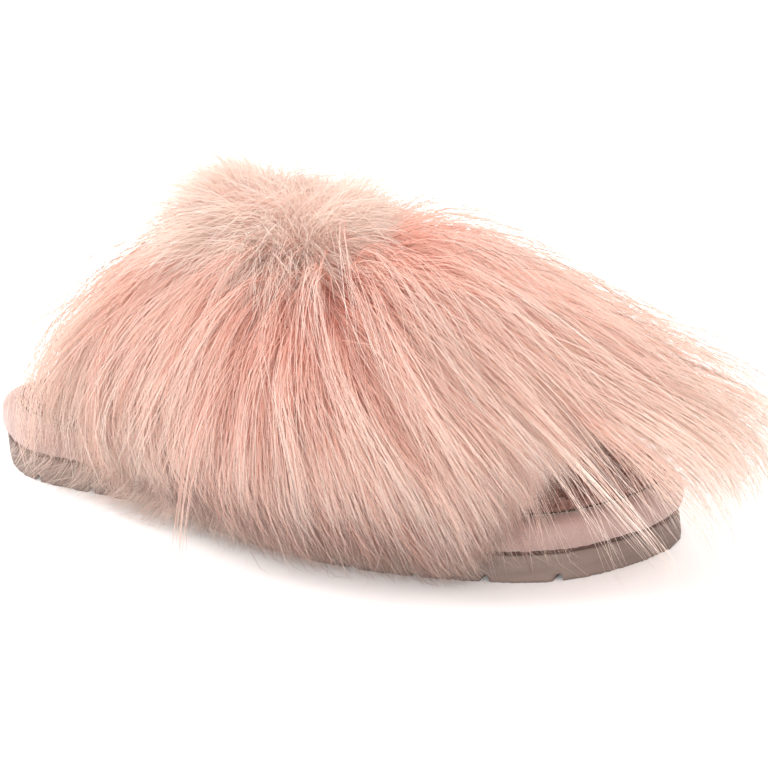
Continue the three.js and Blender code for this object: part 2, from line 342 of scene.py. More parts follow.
# ---- the space round the slipper ----------------------------------------------------------
class Space:
    """How far a point is from the sole and the band, on a smoothed grid."""

    def __init__(self, cell, softness):
        margin = 40 * MM
        self.cell = cell
        self.low = LOW - margin
        self.low[2] = -2.5 * softness
        self.shape = np.ceil((HIGH + margin - self.low) / cell).astype(int) + 1
        solid = self.fill(self.heights())
        width = max(1, int(round(softness / cell)))
        for axis in range(3):
            for _ in range(3):
                solid = self.blur(solid, axis, width)
        share = np.clip(solid, 1e-4, 1 - 1e-4)
        self.distance = softness * np.log((1 - share) / share) / 1.7
        self.away = np.stack(np.gradient(self.distance, cell), axis=-1)

    def heights(self):
        """The height of the sole and band over each column, or below everything beside them."""
        names = ("outsole", "platform_wrap", "sock_lining", "fur_backing", "front_binding", "rear_binding")
        tree = BVHTree.FromPolygons(*node_mesh(*names))
        heights = np.full(self.shape[:2], -1.0)
        top = HIGH[2] + 0.1
        for i in range(self.shape[0]):
            for j in range(self.shape[1]):
                x, y = self.low[:2] + np.array((i, j)) * self.cell
                hit = tree.ray_cast(Vector((x, y, top)), Vector((0, 0, -1)))[0]
                if hit is not None:
                    heights[i, j] = hit.z
        return heights

    def fill(self, heights):
        z = self.low[2] + np.arange(self.shape[2]) * self.cell
        return (z[None, None, :] < heights[:, :, None]).astype(float)

    @staticmethod
    def blur(values, axis, width):
        """A running mean along one axis, 2 * width + 1 cells wide."""
        padding = [(0, 0)] * 3
        padding[axis] = (width + 1, width)
        total = np.cumsum(np.pad(values, padding, mode="edge"), axis=axis)
        count = values.shape[axis]
        ahead = np.take(total, np.arange(count) + 2 * width + 1, axis=axis)
        behind = np.take(total, np.arange(count), axis=axis)
        return (ahead - behind) / (2 * width + 1)

    def sample(self, field, points):
        """A field's values at points, between its grid points."""
        place = np.clip((points - self.low) / self.cell, 0, self.shape - 1.001)
        corner = place.astype(int)
        part = place - corner
        total = 0
        for dx in (0, 1):
            for dy in (0, 1):
                for dz in (0, 1):
                    weight = np.abs(1 - dx - part[:, 0]) * np.abs(1 - dy - part[:, 1])
                    weight = weight * np.abs(1 - dz - part[:, 2])
                    value = field[corner[:, 0] + dx, corner[:, 1] + dy, corner[:, 2] + dz]
                    total = total + (weight[:, None] * value if value.ndim > 1 else weight * value)
        return total


# ---- the band's layers --------------------------------------------------------------------
class BandFace:
    """Points and normals over one face of a band layer, by share of its length and of its arch."""

    def __init__(self, node, inner=False, rows=40, columns=60):
        points, faces = node_mesh(node)
        tree = BVHTree.FromPolygons(points, faces)
        self.low, self.high = (np.array(corner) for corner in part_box(node))
        self.points = np.zeros((rows, columns, 3))
        self.normals = np.zeros((rows, columns, 3))
        self.rows, self.columns = rows, columns
        vertices = np.array(points)
        for i in range(rows):
            x = self.low[0] + (self.high[0] - self.low[0]) * (0.004 + 0.992 * i / (rows - 1))
            near = vertices[np.abs(vertices[:, 0] - x) < 12 * MM]
            lift = 6 * MM
            middle = np.array((x, (near[:, 1].min() + near[:, 1].max()) / 2, self.low[2] + lift))
            self.fill_row(i, self.cast(tree, middle, inner))

    def cast(self, tree, middle, inner):
        """Where rays from the middle meet the layer's inner face, or rays from outside its outer face."""
        far = 0.2
        found = []
        for angle in np.linspace(math.pi, 0, 4 * self.columns):
            ray = np.array((0, math.cos(angle), math.sin(angle)))
            start, way = (middle, ray) if inner else (middle + ray * far, -ray)
            place, normal, _, _ = tree.ray_cast(Vector(start), Vector(way))
            if place is not None:
                found.append((*place, *normal))
        return np.array(found)

    def fill_row(self, row, found):
        steps = np.linalg.norm(np.diff(found[:, :3], axis=0), axis=1)
        along = np.concatenate(([0], np.cumsum(steps)))
        wanted = np.linspace(0, along[-1], self.columns)
        for axis in range(3):
            self.points[row, :, axis] = np.interp(wanted, along, found[:, axis])
            self.normals[row, :, axis] = np.interp(wanted, along, found[:, 3 + axis])

    def at(self, u, v):
        """Points and normals at shares u of the length and v of the arch."""
        i, j = np.clip(u, 0, 0.9999) * (self.rows - 1), np.clip(v, 0, 0.9999) * (self.columns - 1)
        row, column = i.astype(int), j.astype(int)
        a, b = (i - row)[:, None], (j - column)[:, None]
        mixed = []
        for field in (self.points, self.normals):
            near = field[row, column] * (1 - b) + field[row, column + 1] * b
            far = field[row + 1, column] * (1 - b) + field[row + 1, column + 1] * b
            mixed.append(near * (1 - a) + far * a)
        return mixed[0], unit(mixed[1])


def undulation(points, size, seed):
    """A smooth random field from about -1 to 1 that changes over about one size."""
    rng = np.random.default_rng(seed)
    waves = unit(rng.normal(size=(14, 3))) * (2 * math.pi / size) * rng.uniform(0.6, 1.4, (14, 1))
    phases = rng.uniform(0, 2 * math.pi, 14)
    return np.sin(points @ waves.T + phases).mean(axis=1) * 2.2


def shell_mesh(name, node, swell):
    """A band layer as a soft closed shell between its two faces."""
    rows, columns = 44, 90
    outer, inner = BandFace(node, False, rows, columns), BandFace(node, True, rows, columns)
    flat = outer.points.reshape(-1, 3)
    soft = undulation(flat, 22 * MM, SEED)[:, None] * swell
    swelling = unit(outer.normals.reshape(-1, 3)) * soft
    vertices = np.concatenate((flat + swelling, inner.points.reshape(-1, 3) + swelling))
    second = rows * columns
    faces = []
    for i in range(rows - 1):
        for j in range(columns - 1):
            a = i * columns + j
            quad = (a, a + 1, a + columns + 1, a + columns)
            faces.append(quad)
            faces.append(tuple(second + k for k in reversed(quad)))
    rim = list(range(columns))
    rim += [i * columns + columns - 1 for i in range(1, rows)]
    rim += [(rows - 1) * columns + j for j in range(columns - 2, -1, -1)]
    rim += [i * columns for i in range(rows - 2, 0, -1)]
    for a, b in zip(rim, rim[1:] + rim[:1]):
        faces.append((b, a, second + a, second + b))
    mesh = bpy.data.meshes.new(name)
    mesh.from_pydata(vertices.tolist(), [], faces)
    mesh.shade_smooth()
    return mesh


# ---- fur ----------------------------------------------------------------------------------
Coat = namedtuple("Coat", (
    "name",
    "locks",
    "crest_share",  # share of the locks that are drawn close to the crest
    "across",  # range of the roots, as shares of the band's length along the foot
    "along",  # range of the roots, as shares of the band's arch
    "pivot",  # how far the point it is combed from lies beyond the band's middle
    "length",
    "rear_reach",  # extra share of the length at the rear of the band
    "lift",  # how upright the strands leave the band
    "weight",
    "spread",  # how far strands lie from the middle of their tuft
    "gather",  # how far the tufts of a lock draw together at its tip
    "loose",  # share of the strands that open outwards at their tip
    "curl",
    "tones",  # the tone at the root, its rise towards the rear, and the tone at the tip
))

COATS = (
    Coat(
        name="cover",  # long, rooted all over the band
        locks=COVER_LOCKS,
        crest_share=0.25,
        across=(0.0, 1.0),
        along=(0.03, 0.97),
        pivot=6 * MM,
        length=FUR_LENGTH,
        rear_reach=0.82,
        lift=0.3,
        weight=0.38,
        spread=3.2 * MM,
        gather=0.18,
        loose=0.42,
        curl=0.8 * MM,
        tones=(0.0, 0.36, 1.0),
    ),
    Coat(
        name="tuft",  # short and upright, on the crest
        locks=TUFT_LOCKS,
        crest_share=0.0,
        across=(0.03, 0.3),
        along=(0.44, 0.65),
        pivot=-3 * MM,
        length=0.43 * FUR_LENGTH,
        rear_reach=0.1,
        lift=0.95,
        weight=0.16,
        spread=2.8 * MM,
        gather=0.05,
        loose=0.8,
        curl=0.9 * MM,
        # The tuft's roots start further along the ramp, so paler: partly its own creamier tone, partly
        # painted light on the top of the fur.
        tones=(0.2, 0.14, 0.92),
    ),
)


def comb_directions(points, crest, lean):
    """The level direction in which the fur is combed: outwards from the crest."""
    behind = np.minimum(points[:, 0] - crest[0], 0)
    ahead = np.maximum(points[:, 0] - crest[1], 0)
    away = np.stack((REAR_FAN * behind + ahead, points[:, 1] - crest[2], np.zeros(len(points))), axis=1)
    spread = 14 * MM
    return unit(away + spread * lean)


Locks = namedtuple("Locks", "u v lean layer tone")  # each with one value for each lock
Growth = namedtuple(  # each with one value for each tuft
    "Growth", "roots normals lengths layers lifts weights loft forward rearward lean"
)


def lay_strands(growth, crest, space):
    """Lays each strand from its root: combed from the crest, bent by its weight, clear of the slipper."""
    layers, forward = growth.layers, growth.forward
    step = growth.lengths / STEPS
    combed = comb_directions(growth.roots, crest, growth.lean)
    sideways = combed * np.maximum(1.2 - growth.lifts, 0.25)[:, None]
    direction = unit(growth.normals * growth.lifts[:, None] + sideways)
    place = growth.roots.copy()
    path = [place]
    down = np.array((0, 0, -1.0))
    bend = (step / BEND_LENGTH)[:, None]
    for i in range(1, STEPS + 1):
        share = i / STEPS
        combed = comb_directions(place, crest, growth.lean) * (1, 0.8, 1)
        high = smoothstep(25 * MM, 85 * MM, place[:, 2])
        distance = space.sample(space.distance, place)
        away = unit(space.sample(space.away, place))
        depth = FUR_DEPTH * (0.12 + 0.88 * high) * growth.loft
        wanted = layers * depth * smoothstep(0, 0.3, share) + 2 * MM * smoothstep(0, 0.15, share)
        drawn_in = np.clip((distance - wanted) / (10 * MM), 0, 1) * (2.3 - 1.6 * high)
        drawn_in = drawn_in * (1 - 0.8 * forward)
        pull = combed * (0.08 + 0.72 * np.maximum(high, forward))[:, None]
        pull = pull + down * (growth.weights * (0.4 + 1.3 * share))[:, None] - away * drawn_in[:, None]
        direction = unit(direction + pull * bend)
        moved = place + direction * step[:, None]
        short_of = wanted - space.sample(space.distance, moved)
        away = unit(space.sample(space.away, moved))
        moved = moved + away * np.clip(short_of, 0, 4 * MM)[:, None]
        moved[:, 2] = np.maximum(moved[:, 2], 0.4 * MM + 2.5 * MM * layers)
        direction = unit(moved - place)
        place = place + direction * step[:, None]
        path.append(place)
    return np.stack(path, axis=1)


def resample(paths, count):
    """Paths with fewer points, evenly spaced."""
    place = np.linspace(0, paths.shape[1] - 1, count)
    low = np.minimum(place.astype(int), paths.shape[1] - 2)
    part = (place - low)[None, :, None]
    return paths[:, low] * (1 - part) + paths[:, low + 1] * part


def across_path(paths, seeds):
    """Two directions square to each path at each of its points."""
    along = unit(np.gradient(paths, axis=1))
    first = unit(np.cross(along, seeds[:, None, :]))
    return first, np.cross(along, first)


def first_share(past):
    """The share of each path's length at which a condition first holds, or 1."""
    count = past.shape[1]
    found = np.argmax(past, axis=1) / (count - 1)
    return np.where(past.any(axis=1), np.maximum(found, 0.15), 1)


def trimmed_shares(tufts, rng, space):
    """How much of each tuft is kept: most end at the sole's edge, and a few wisps reach the ground."""
    paths = resample(tufts, 3 * tufts.shape[1] - 2)
    count, points = paths.shape[:2]
    height = paths[:, :, 2]
    toe = smoothstep(TOE_START, TOE_END, paths[:, :, 0])
    low_end = HEM_LOWEST + HEM_RANGE * rng.random(count) ** 2
    is_toe_wisp = rng.random(count) < TOE_WISP_SHARE
    high_end = np.where(is_toe_wisp, low_end, TOE_HEM_LOWEST + TOE_HEM_RANGE * rng.random(count))
    beyond = 1 - 0.55 * smoothstep(128 * MM, 150 * MM, paths[:, :, 0])
    end = low_end[:, None] * (1 - toe) + high_end[:, None] * toe * beyond
    distance = space.sample(space.distance, paths.reshape(-1, 3)).reshape(count, points)
    is_wisp = (rng.random(count) < WISP_SHARE) & (paths[:, -1, 0] < 70 * MM)
    end = np.where(is_wisp[:, None], 3 * MM, end)
    reach = (np.where(is_wisp, WISP_REACH, HEM_REACH) + 8 * MM * rng.random(count))[:, None] + height
    steps = np.linalg.norm(np.gradient(paths, axis=1), axis=2)
    fall = -np.gradient(height, axis=1) / steps
    low = height < LOW_FUR
    least_fall = 0.2 + 0.2 * smoothstep(-70 * MM, 0, paths[:, :, 0])
    turned = low & (fall < least_fall) & (distance < 12 * MM)
    return first_share((height < end) | turned | (low & (distance > reach)))


def press_in(values, start, stop):
    """Values beyond start drawn together, so that none passes stop."""
    room = stop - start
    past = (values - start) / room
    return np.where(past > 0, start + room * (1 - np.exp(-np.maximum(past, 0))), values)


def keep_inside(paths):
    """Strands that would stray far from the CAD fur are drawn in to just outside it."""
    stop = 0.03 * (HIGH - LOW) + 9 * MM
    start = -8 * MM
    for axis in range(3):
        paths[:, :, axis] = press_in(paths[:, :, axis], HIGH[axis] + start, HIGH[axis] + stop[axis])
    for axis in (0, 1):
        paths[:, :, axis] = -press_in(-paths[:, :, axis], -LOW[axis] + start, -LOW[axis] + stop[axis])
    return paths


def scatter_locks(coat, rng):
    """Where a coat's locks are rooted, as shares of the band, and what each one's tufts share."""
    u = coat.across[0] + (coat.across[1] - coat.across[0]) * rng.random(coat.locks)
    v = coat.along[0] + (coat.along[1] - coat.along[0]) * rng.random(coat.locks)
    at_crest = rng.random(coat.locks) < coat.crest_share
    u = np.where(at_crest, np.abs(rng.normal(0.16, 0.13, coat.locks)), u)
    v = np.where(at_crest, rng.normal(0.5, 0.11, coat.locks), v)
    lean = unit(rng.normal(size=(coat.locks, 3)) * (1, 1, 0))
    layer = rng.random(coat.locks)
    tone = rng.random(coat.locks)
    return Locks(u, v, lean, layer, tone)


def root_tufts(coat, locks, lock, band, crest, rng):
    """The small tufts scattered round each lock: each one's root, and how it is to be laid."""
    count = len(lock)
    roots, normals = band.at(
        locks.u[lock] + rng.normal(scale=0.022, size=count),
        locks.v[lock] + rng.normal(scale=0.014, size=count),
    )
    lean = unit(locks.lean[lock] + (0.5 + coat.loose) * rng.normal(size=(count, 3)) * (1, 1, 0))
    layers = np.clip(locks.layer[lock] + 0.12 * rng.normal(size=count), 0, 1)
    rearward = 1 - smoothstep(0, 30 * MM, roots[:, 0] - crest[0])
    forward = smoothstep(0, 60 * MM, roots[:, 0] - crest[1]) * smoothstep(50 * MM, 75 * MM, roots[:, 2])
    lengths = coat.length * (0.6 + 0.45 * rng.random(count) ** 0.6) * (1 + coat.rear_reach * rearward)
    lengths = lengths * (1 + forward)
    beside = np.exp(-(((roots[:, 1] - crest[2]) / (22 * MM)) ** 2))
    near_crest = beside * (1 - smoothstep(10 * MM, 60 * MM, roots[:, 0] - crest[1]))
    loft = (1 - 0.2 * forward - 0.85 * rearward) * (1 + 0.3 * near_crest * (1 - rearward))
    lifts = coat.lift + 0.25 * layers - 0.25 * forward - 0.2 * rearward + 0.3 * near_crest * layers
    weights = coat.weight * (1 + 2.1 * rng.random(count)) * (1 + 1.2 * rearward - 0.25 * forward)
    return Growth(roots, normals, lengths, layers, lifts, weights, loft, forward, rearward, lean)


def draw_together(coat, tufts):
    """Each lock's tufts, drawn together towards its tip."""
    mean = tufts.reshape(coat.locks, TUFTS_PER_LOCK, FUR_POINTS, 3).mean(axis=1)
    pull = (coat.gather * smoothstep(0.15, 1, np.linspace(0, 1, FUR_POINTS)))[None, :, None]
    return tufts * (1 - pull) + np.repeat(mean, TUFTS_PER_LOCK, axis=0) * pull


def scatter_strands(coat, tufts, tuft, rng):
    """The strands' full paths, scattered round their tufts."""
    strands = len(tuft)
    share = np.linspace(0, 1, FUR_POINTS)
    first, second = across_path(tufts, unit(rng.normal(size=(len(tufts), 3))))
    angle = rng.random(strands) * 2 * math.pi
    reach = coat.spread * (0.2 + 0.8 * rng.random(strands) ** 0.5)
    loose = rng.random(strands) < coat.loose
    close = (1 - 0.3 * smoothstep(0.1, 1, share))[None, :]
    open_end = (1 + 2.2 * share**1.5)[None, :]
    profile = np.where(loose[:, None], open_end, close) * reach[:, None]
    crossing = (rng.random(strands) < 0.1) * rng.normal(scale=11 * MM, size=strands)
    profile = profile + crossing[:, None] * (share**1.6)[None, :]
    turns = share[None, :] * (7 + 9 * rng.random((strands, 1))) + 2 * math.pi * rng.random((strands, 1))
    wave = coat.curl * np.sin(turns) * (0.3 + share[None, :])
    paths = tufts[tuft]
    paths = paths + first[tuft] * (np.cos(angle)[:, None] * profile + wave)[:, :, None]
    return paths + second[tuft] * (np.sin(angle)[:, None] * profile - wave)[:, :, None]


def kept_shares(tufts, tuft, rng, space):
    """How much of each strand is kept; strands end at different places along their tuft."""
    keep = 1 - 0.45 * rng.random(len(tuft)) ** 1.4
    trimmed = trimmed_shares(tufts, rng, space)[tuft] * (1.03 - 0.12 * rng.random(len(tuft)))
    return np.minimum(keep, trimmed)


def tone_strands(coat, growth, lock_tone, tuft, keep, rng):
    """Each strand's column in the fur's UV map, and its tones at the root and the tip."""
    strands = len(tuft)
    # Strands rooted lower take the greyer, darker columns more often: painted shade on the lower fur.
    hang = 1 - smoothstep(PAINTED_SHADE_START, PAINTED_SHADE_END, growth.roots[tuft][:, 2])
    painted_shade = rng.random(strands) < 0.75 * hang + 0.03
    place = np.clip(0.6 * lock_tone[tuft] + 0.4 * rng.random(strands), 0, 0.999)
    # The tuft takes only the paler warm columns and none of the painted shade: partly its own creamier
    # tone, partly painted light on the top of the fur.
    if coat.name == "tuft":
        painted_shade = np.zeros(strands, dtype=bool)
        place = 0.8 * place
    warm_columns = TONE_COLUMNS - SHADE_TONES
    column = np.where(painted_shade, warm_columns + place * SHADE_TONES, place * warm_columns).astype(int)
    root_tone = coat.tones[0] + (0.46 * growth.forward + coat.tones[1] * growth.rearward)[tuft]
    least = (0.3 + 0.4 * growth.forward + 0.35 * growth.rearward)[tuft]
    tip_tone = coat.tones[2] * (least + (1 - least) * keep)
    return column, np.stack((root_tone, tip_tone), axis=1)


def grow_coat(coat, rng, band, space):
    """One coat's strands as paths, with each one's radius, tone and region."""
    rear, middle = band.low[0], (band.low[1] + band.high[1]) / 2
    crest = (rear + CREST_START, rear + CREST_END, middle + coat.pivot)
    locks = scatter_locks(coat, rng)
    lock = np.repeat(np.arange(coat.locks), TUFTS_PER_LOCK)
    growth = root_tufts(coat, locks, lock, band, crest, rng)
    tufts = draw_together(coat, resample(lay_strands(growth, crest, space), FUR_POINTS))
    tuft = np.repeat(np.arange(len(lock)), STRANDS_PER_TUFT)
    paths = scatter_strands(coat, tufts, tuft, rng)
    keep = kept_shares(tufts, tuft, rng, space)
    paths = keep_inside(shorten(paths, keep))
    paths[:, :, 2] = np.maximum(paths[:, :, 2], 0.3 * MM)
    radii = FUR_RADIUS * (0.7 + 0.6 * rng.random(len(tuft)))
    column, tones = tone_strands(coat, growth, locks.tone[lock], tuft, keep, rng)
    region = region_of(growth.roots, tufts[:, -1], coat.name == "tuft")[tuft]
    return paths, radii, column, tones, region


def grow_fur(band, space):
    """All coats' strands together."""
    rng = np.random.default_rng(SEED)
    coats = [grow_coat(coat, rng, band, space) for coat in COATS]
    return [np.concatenate(parts) for parts in zip(*coats)]


def shorten(paths, keep):
    """Each path cut to a share of its length, with as many points as before."""
    count = paths.shape[1]
    place = np.linspace(0, 1, count)[None, :] * keep[:, None] * (count - 1)
    low = np.minimum(place.astype(int), count - 2)
    part = (place - low)[:, :, None]
    rows = np.arange(len(paths))[:, None]
    return paths[rows, low] * (1 - part) + paths[rows, low + 1] * part


REGIONS = ("crest", "heel_fall", "toe_fall", "outer_side", "inner_side")


def region_of(roots, tips, is_crest):
    """Which of the five fur masses a tuft belongs to."""
    heel = tips[:, 0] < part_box("fur_heel_fall")[1][0]
    toe = tips[:, 0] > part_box("fur_toe_fall")[0][0]
    outer = roots[:, 1] < 0
    crest = np.full(len(roots), is_crest)
    return np.select([crest, heel, toe, outer], [0, 1, 2, 3], 4)


def hair_taper(share):
    return (0.75 + 0.6 * share) * (1 - share**2.2) + 0.12


def strand_mesh(name, paths, radii, column, tones=((0.0, 1.0),), sides=3, taper=hair_taper):
    """Closed strands of a few sides that end in a point, as one mesh with its UV map."""
    count, points = paths.shape[:2]
    rings = points - 1
    rng = np.random.default_rng(SEED)
    first, second = across_path(paths, unit(rng.normal(size=(count, 3))))
    share = np.linspace(0, 1, points)
    width = (radii[:, None] * taper(share)[None, :])[:, :, None]
    turns = 2 * math.pi * np.arange(sides) / sides
    around = [paths + (first * math.cos(turn) + second * math.sin(turn)) * width for turn in turns]
    body = np.stack(around, axis=2)[:, :rings]
    vertices = np.concatenate((body.reshape(count, rings * sides, 3), paths[:, -1:]), axis=1)
    per_strand = rings * sides + 1

    faces, marks = [], []
    for ring in range(rings):
        for side in range(sides):
            after = (side + 1) % sides
            a, b = ring * sides + side, ring * sides + after
            low, high = share[ring], share[ring + 1]
            if ring == rings - 1:
                faces.append((a, b, rings * sides))
                marks.append(((side, low), (side + 1, low), (side + 0.5, 1)))
                continue
            c, d = b + sides, a + sides
            faces += [(a, b, c), (a, c, d)]
            marks.append(((side, low), (side + 1, low), (side + 1, high)))
            marks.append(((side, low), (side + 1, high), (side, high)))
    for side in range(1, sides - 1):
        faces.append((side + 1, side, 0))
        marks.append(((side + 1, 0), (side, 0), (0, 0.01)))

    marks = np.array(marks, dtype=float)
    starts = (np.arange(count) * per_strand)[:, None, None]
    all_faces = (np.array(faces)[None] + starts).reshape(-1)
    across = (column[:, None, None] + 0.1 + 0.8 * marks[None, :, :, 0] / sides) / TONE_COLUMNS
    first_tone, last_tone = (np.array(tones)[:, end, None, None] for end in (0, 1))
    up = np.broadcast_to(first_tone + (last_tone - first_tone) * marks[None, :, :, 1], across.shape)
    uv = np.stack((across, 0.01 + 0.98 * up), axis=-1).reshape(-1)

    mesh = bpy.data.meshes.new(name)
    mesh.vertices.add(count * per_strand)
    mesh.vertices.foreach_set("co", vertices.astype(np.float32).reshape(-1))
    mesh.loops.add(len(all_faces))
    mesh.loops.foreach_set("vertex_index", all_faces.astype(np.int32))
    mesh.polygons.add(len(all_faces) // 3)
    mesh.polygons.foreach_set("loop_start", np.arange(0, len(all_faces), 3, dtype=np.int32))
    mesh.polygons.foreach_set("use_smooth", np.ones(len(all_faces) // 3, dtype=bool))
    layer = mesh.uv_layers.new(name="OFBake")
    layer.data.foreach_set("uv", uv.astype(np.float32))
    mesh.update(calc_edges=True)
    return mesh


def build_fur(band, space, material):
    """The fur cover, as several pieces for each of its five masses."""
    paths, radii, column, tones, region = grow_fur(band, space)
    for index, name in enumerate(REGIONS):
        chosen = np.flatnonzero(region == index)
        for number, start in enumerate(range(0, len(chosen), FUR_PIECE_STRANDS), 1):
            part = chosen[start : start + FUR_PIECE_STRANDS]
            piece = f"fur_{name}_strands_{number}"
            mesh = strand_mesh(piece, paths[part], radii[part], column[part], tones[part])
            add_piece(new_object(piece, mesh, material), "fur", "fur_" + name)


# ---- sole and footbed ---------------------------------------------------------------------
def applied(obj):
    """The object with its modifiers' result as its own mesh."""
    shape = obj.evaluated_get(bpy.context.evaluated_depsgraph_get())
    mesh = bpy.data.meshes.new_from_object(shape)
    mesh.materials.clear()
    mesh.materials.append(obj.data.materials[0])
    obj.modifiers.clear()
    obj.data = mesh
    mesh.shade_smooth()
    return obj


def softened(name, node, material, voxel, rounds):
    """A finer copy of a CAD node with its edges rounded."""
    obj = new_object(name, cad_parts[node].data.copy(), material)
    remesh = obj.modifiers.new("remesh", "REMESH")
    remesh.mode = "VOXEL"
    remesh.voxel_size = voxel
    smooth = obj.modifiers.new("smooth", "SMOOTH")
    smooth.iterations = rounds
    return applied(obj)


def vertex_array(obj):
    flat = np.empty(len(obj.data.vertices) * 3)
    obj.data.vertices.foreach_get("co", flat)
    return flat.reshape(-1, 3)


def normal_array(obj):
    flat = np.empty(len(obj.data.vertices) * 3)
    obj.data.vertices.foreach_get("normal", flat)
    return flat.reshape(-1, 3)


def set_vertices(obj, points):
    obj.data.vertices.foreach_set("co", points.astype(np.float32).reshape(-1))
    obj.data.update()


def puffed(obj, cap):
    """Swells a pad by cloth simulation, no point further than the cap, with its underside flat."""
    start = vertex_array(obj)
    cloth = obj.modifiers.new("cloth", "CLOTH")
    cloth.settings.use_pressure = True
    cloth.settings.uniform_pressure_force = 4
    cloth.settings.effector_weights.gravity = 0
    scene = bpy.context.scene
    for number in range(1, 21):
        scene.frame_set(number)
    shape = obj.evaluated_get(bpy.context.evaluated_depsgraph_get())
    end = np.empty(start.size)
    shape.data.vertices.foreach_get("co", end)
    obj.modifiers.clear()
    scene.frame_set(1)
    move = end.reshape(-1, 3) - start
    length = np.linalg.norm(move, axis=1, keepdims=True)
    move = move * np.minimum(1, cap / np.maximum(length, 1e-9))
    swollen = start + move * (0.3, 0.3, 1)
    swollen[:, 2] = np.maximum(swollen[:, 2], start[:, 2].min())
    set_vertices(obj, swollen)


def pucker(obj):
    """Small folds where the suede turns in at the seam, and slight waves over the rest."""
    points = vertex_array(obj)
    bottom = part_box("platform_wrap")[0][2]
    to_seam = 1 - smoothstep(bottom + 0.5 * MM, bottom + 5 * MM, points[:, 2])
    folds = undulation(points * (1, 1, 0.15), 5 * MM, SEED) * to_seam * 0.22 * MM
    waves = undulation(points, 26 * MM, SEED + 1) * 0.3 * MM
    tucked = points + normal_array(obj) * (folds + waves)[:, None]
    tucked[:, 2] -= 0.5 * MM * to_seam
    set_vertices(obj, tucked)


def ring_path(node, spacing):
    """Evenly spaced points round a ring-shaped node."""
    points = vertex_array(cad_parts[node])
    low, high = (np.array(corner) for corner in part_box(node))
    middle, half = (low + high) / 2, (high - low) / 2
    level = (points - middle) / half
    angle = np.arctan2(level[:, 1], level[:, 0])
    sectors = np.linspace(-math.pi, math.pi, 97)
    loop = []
    for start, stop in zip(sectors, sectors[1:]):
        inside = points[(angle >= start) & (angle < stop)]
        if len(inside):
            loop.append((inside.min(axis=0) + inside.max(axis=0)) / 2)
    loop = np.array(loop + loop[:1])
    along = np.concatenate(([0], np.cumsum(np.linalg.norm(np.diff(loop, axis=0), axis=1))))
    count = int(along[-1] / spacing)
    wanted = np.linspace(0, along[-1], count, endpoint=False)
    path = np.stack([np.interp(wanted, along, loop[:, axis]) for axis in range(3)], axis=1)
    for _ in range(3):
        path = (np.roll(path, 1, axis=0) + path + np.roll(path, -1, axis=0)) / 3
    return path


def stitch_taper(share):
    return 0.55 + 0.9 * np.sqrt(share * (1 - share))


def stitch_row(name, starts, stops, normals, radius, node, material):
    """One short arched stitch from each start to its stop, as one piece."""
    points = 7
    share = np.linspace(0, 1, points)[None, :, None]
    paths = starts[:, None] * (1 - share) + stops[:, None] * share
    arch = 0.55 * MM * (4 * share * (1 - share)) ** 0.5 - 0.15 * MM
    paths = paths + normals[:, None] * arch
    column = np.arange(len(starts)) % TONE_COLUMNS
    radii = np.full(len(starts), radius)
    mesh = strand_mesh(name, paths, radii, column, sides=6, taper=stitch_taper)
    add_piece(new_object(name, mesh, material), "dark_thread", node)


def stitch_ends(here, after):
    """Where the stitch between each two needle holes starts and stops."""
    edge = STITCH_GAP / 2
    return here * (1 - edge) + after * edge, here * edge + after * (1 - edge)


def ring_stitches(name, node, spacing, radius, material):
    """Stitches round a ring-shaped node, raised upwards."""
    path = ring_path(node, spacing)
    normals = np.tile((0, 0, 1.0), (len(path), 1))
    starts, stops = stitch_ends(path, np.roll(path, -1, axis=0))
    stitch_row(name, starts, stops, normals, radius, node, material)


def band_stitches(name, node, spacing, material):
    """Stitches along the arch of a band edge."""
    face = BandFace(node, False, 2, 200)
    path, normals = face.points.mean(axis=0), unit(face.normals.mean(axis=0))
    length = np.linalg.norm(np.diff(path, axis=0), axis=1).sum()
    marks = np.linspace(0.02, 0.98, int(length / spacing) + 1)
    at = (marks * (len(path) - 1)).astype(int)
    starts, stops = stitch_ends(path[at[:-1]], path[at[1:]])
    stitch_row(name, starts, stops, normals[at[:-1]], 0.32 * MM, node, material)


def pile(name, roots, normals, length, radius, slot, material):
    """Short curly fibres standing on a surface."""
    rng = np.random.default_rng(SEED)
    count, points = len(roots), 4
    share = np.linspace(0, 1, points)[None, :, None]
    lean = rng.normal(scale=0.55, size=(count, 1, 3))
    bend = rng.normal(scale=0.7, size=(count, 1, 3))
    reach = (length * rng.uniform(0.6, 1.1, count))[:, None, None]
    paths = roots[:, None] + reach * share * unit(normals[:, None] + lean) + reach * share**2 * bend
    above = ((paths - roots[:, None]) * normals[:, None]).sum(axis=2, keepdims=True)
    paths = paths + normals[:, None] * np.maximum(0.1 * MM - above, 0)
    radii = radius * rng.uniform(0.7, 1.3, count)
    mesh = strand_mesh(name, paths, radii, rng.integers(0, TONE_COLUMNS, count))
    add_piece(new_object(name, mesh, material), slot)


def sock_roots(obj, count):
    """Random points on the upper face of the footbed cover."""
    rng = np.random.default_rng(SEED)
    low, high = (np.array(corner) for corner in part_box("sock_lining"))
    tree = BVHTree.FromObject(obj, bpy.context.evaluated_depsgraph_get())
    roots, normals = [], []
    while len(roots) < count:
        x, y = low[:2] + (high[:2] - low[:2]) * rng.random(2)
        above = 5 * MM
        place, normal, _, _ = tree.ray_cast(Vector((x, y, high[2] + above)), Vector((0, 0, -1)))
        if place is not None and normal.z > 0.3:
            roots.append(tuple(place))
            normals.append(tuple(normal))
    return np.array(roots), np.array(normals)


